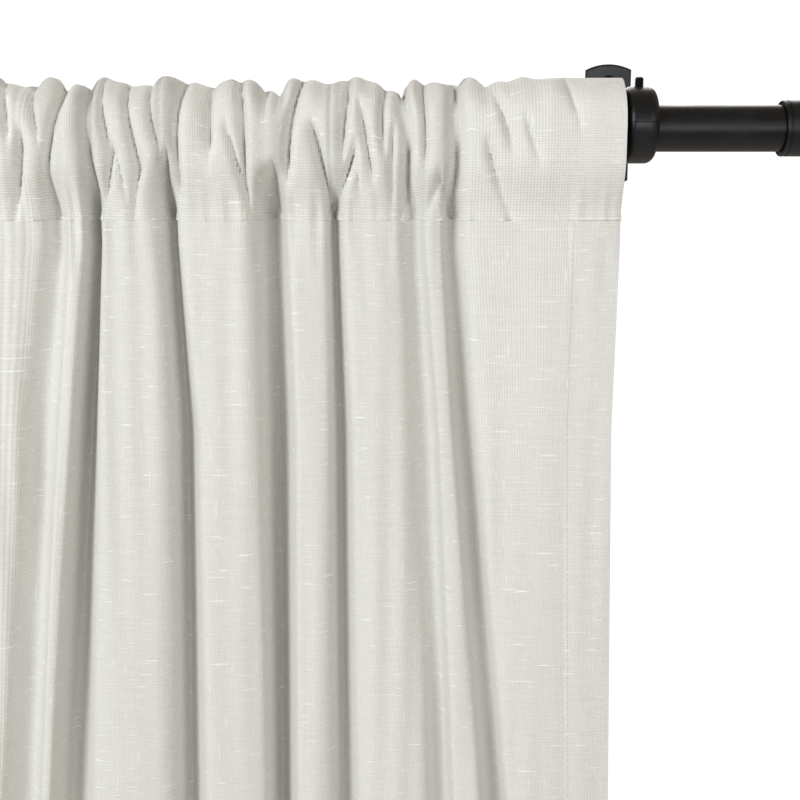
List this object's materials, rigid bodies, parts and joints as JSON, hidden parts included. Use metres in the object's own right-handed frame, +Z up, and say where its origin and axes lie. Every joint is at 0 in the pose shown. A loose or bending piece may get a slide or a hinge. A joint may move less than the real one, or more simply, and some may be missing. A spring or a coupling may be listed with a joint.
{
  "type": "window curtains on a rod",
  "caption": "Pair of rod-pocket curtain panels gathered on a telescoping round rod, held by two ring brackets with hinged keepers and set screws.",
  "frame": {"origin": "centre of the left wall plate's back face, on the wall, between its two screw holes", "axes": "+X along the rod to the right, +Y into the wall, +Z up; the room is on the -Y side and the curtains hang towards -Z"},
  "size_m": [1.731, 0.1313, 2.1448],
  "materials": {
    "black_metal": "satin black powder coat",
    "zinc_steel": "zinc plated",
    "black_nylon": "moulded nylon",
    "linen_cloth": "ivory linen-look slub weave"
  },
  "bodies": {
    "left_side": {"left_wall_plate": "black_metal", "left_arm_screw": "zinc_steel", "left_arm": "black_metal", "left_cradle": "black_metal", "left_hinge_pin": "zinc_steel", "outer_tube": "black_metal", "tube_bush": "black_nylon", "left_rod_pocket": "linen_cloth", "left_drop_panel": "linen_cloth", "left_bottom_hem": "linen_cloth", "left_outer_hem": "linen_cloth"},
    "right_side": {"right_wall_plate": "black_metal", "right_arm_screw": "zinc_steel", "right_arm": "black_metal", "right_cradle": "black_metal", "right_hinge_pin": "zinc_steel", "inner_tube": "black_metal", "inner_tube_glide": "black_nylon", "right_rod_pocket": "linen_cloth", "right_drop_panel": "linen_cloth", "right_bottom_hem": "linen_cloth", "right_outer_hem": "linen_cloth"},
    "left_keeper": {"left_keeper": "black_metal"},
    "right_keeper": {"right_keeper": "black_metal"},
    "left_screw": {"left_set_screw": "black_metal"},
    "right_screw": {"right_set_screw": "black_metal"},
    "left_cap": {"left_end_cap": "black_metal"},
    "right_cap": {"right_end_cap": "black_metal", "right_cap_sleeve": "black_nylon"},
    "left_edge": {"left_leading_hem": "linen_cloth"},
    "right_edge": {"right_leading_hem": "linen_cloth"}
  },
  "joints": [
    {"name": "rod_telescope", "type": "slide", "parent": "left_side", "child": "right_side", "axis": [-1, 0, 0], "range_m": [-0.35, 0.18]},
    {"name": "left_curtain_draw", "type": "slide", "parent": "left_side", "child": "left_edge", "axis": [-1, 0, 0], "range_m": [-0.095, 0.3], "deforming": ["left_rod_pocket", "left_drop_panel", "left_bottom_hem"]},
    {"name": "right_curtain_draw", "type": "slide", "parent": "right_side", "child": "right_edge", "axis": [1, 0, 0], "range_m": [-0.095, 0.3], "deforming": ["right_rod_pocket", "right_drop_panel", "right_bottom_hem"]},
    {"name": "left_keeper_hinge", "type": "hinge", "parent": "left_side", "child": "left_keeper", "pos_m": [0, -0.09407, 0.01477], "axis": [-1, 0, 0], "range_deg": [0, 100]},
    {"name": "left_screw_travel", "type": "slide", "parent": "left_keeper", "child": "left_screw", "axis": [0, 0, 1], "range_m": [0, 0.006]},
    {"name": "left_cap_pull", "type": "slide", "parent": "left_side", "child": "left_cap", "axis": [-1, 0, 0], "range_m": [0, 0.04]},
    {"name": "right_keeper_hinge", "type": "hinge", "parent": "right_side", "child": "right_keeper", "pos_m": [1.5, -0.09407, 0.01627], "axis": [-1, 0, 0], "range_deg": [0, 100]},
    {"name": "right_screw_travel", "type": "slide", "parent": "right_keeper", "child": "right_screw", "axis": [0, 0, 1], "range_m": [0, 0.006]},
    {"name": "right_cap_pull", "type": "slide", "parent": "right_side", "child": "right_cap", "axis": [1, 0, 0], "range_m": [0, 0.04]}
  ]
}
